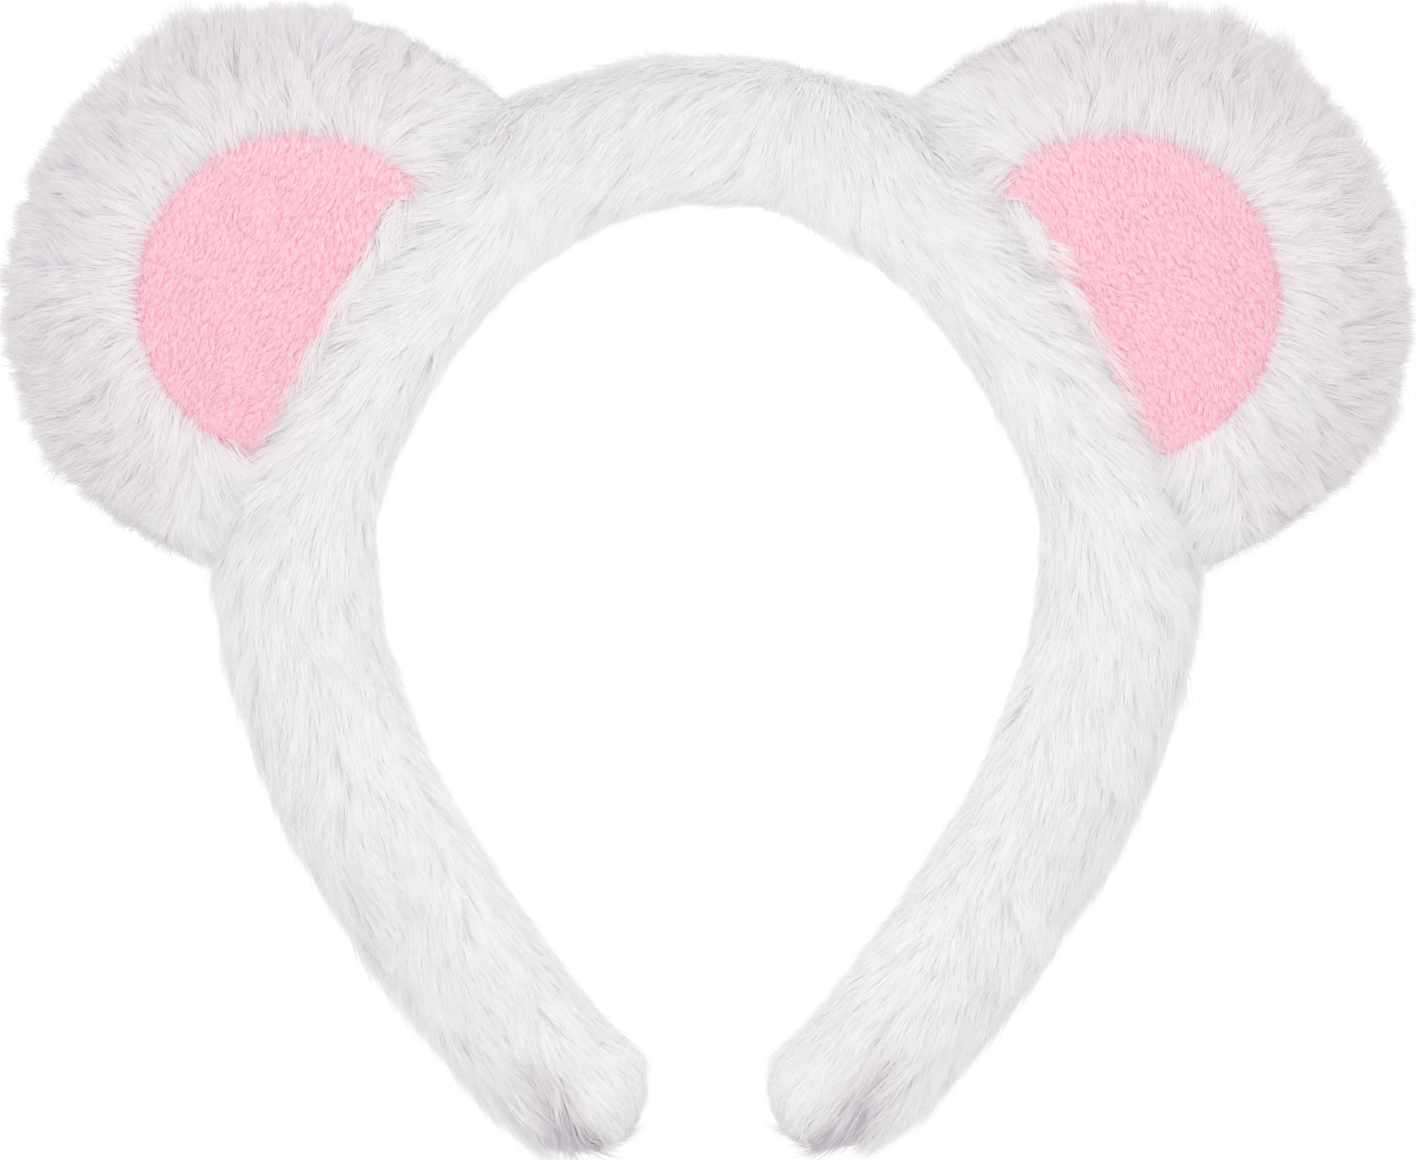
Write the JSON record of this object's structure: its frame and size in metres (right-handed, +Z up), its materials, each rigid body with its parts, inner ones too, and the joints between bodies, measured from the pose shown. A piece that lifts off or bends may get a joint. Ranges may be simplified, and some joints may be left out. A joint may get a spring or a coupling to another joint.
{
  "type": "animal ears headband",
  "caption": "Padded faux-fur headband, an arch open at the bottom, with round furry ears that have short-pile inner panels; it is worn over the head.",
  "frame": {"origin": "inner face of the band at the top of the arch, in the middle of its depth, where it rests on the crown of the head", "axes": "+X to the right as seen from in front, +Y towards the back of the head, +Z up; left is the -X side"},
  "size_m": [0.2354, 0.0277, 0.1928],
  "materials": {
    "white_fur": "long soft pile, matt with a faint sheen",
    "pink_plush": "short dense pile, matt",
    "wadding": "loose fibre, matt",
    "core_plastic": "moulded, satin",
    "sewing_thread": "spun thread, matt"
  },
  "bodies": {
    "crown": {"core_crown": "core_plastic", "padding_crown": "wadding", "fur_cover_crown": "white_fur", "seam_thread_crown": "sewing_thread"},
    "arm_left": {"core_left": "core_plastic", "padding_left": "wadding", "fur_cover_left": "white_fur", "seam_thread_left": "sewing_thread", "tip_thread_left": "sewing_thread"},
    "arm_right": {"core_right": "core_plastic", "padding_right": "wadding", "fur_cover_right": "white_fur", "seam_thread_right": "sewing_thread", "tip_thread_right": "sewing_thread"},
    "ear_left": {"ear_filling_left": "wadding", "ear_back_fur_left": "white_fur", "ear_front_fur_left": "white_fur", "ear_inner_panel_left": "pink_plush", "ear_rim_thread_left": "sewing_thread", "ear_panel_thread_left": "sewing_thread", "ear_base_thread_left": "sewing_thread"},
    "ear_right": {"ear_filling_right": "wadding", "ear_back_fur_right": "white_fur", "ear_front_fur_right": "white_fur", "ear_inner_panel_right": "pink_plush", "ear_rim_thread_right": "sewing_thread", "ear_panel_thread_right": "sewing_thread", "ear_base_thread_right": "sewing_thread"}
  },
  "joints": [
    {"name": "arm_spread_left", "type": "hinge", "parent": "crown", "child": "arm_left", "pos_m": [-0.01579, 0, 0.01028], "axis": [0, 1, 0], "range_deg": [-2, 10], "stiffness_Nm_per_rad": 1.9},
    {"name": "arm_spread_right", "type": "hinge", "parent": "crown", "child": "arm_right", "pos_m": [0.01579, 0, 0.01028], "axis": [0, -1, 0], "range_deg": [-2, 10], "stiffness_Nm_per_rad": 1.9},
    {"name": "ear_flop_left", "type": "hinge", "parent": "arm_left", "child": "ear_left", "pos_m": [-0.0602, 0, -0.0092], "axis": [-0.5027, 0, -0.8645], "range_deg": [-15, 15], "stiffness_Nm_per_rad": 0.1},
    {"name": "ear_flop_right", "type": "hinge", "parent": "arm_right", "child": "ear_right", "pos_m": [0.0602, 0, -0.0092], "axis": [-0.5027, 0, 0.8645], "range_deg": [-15, 15], "stiffness_Nm_per_rad": 0.1}
  ]
}
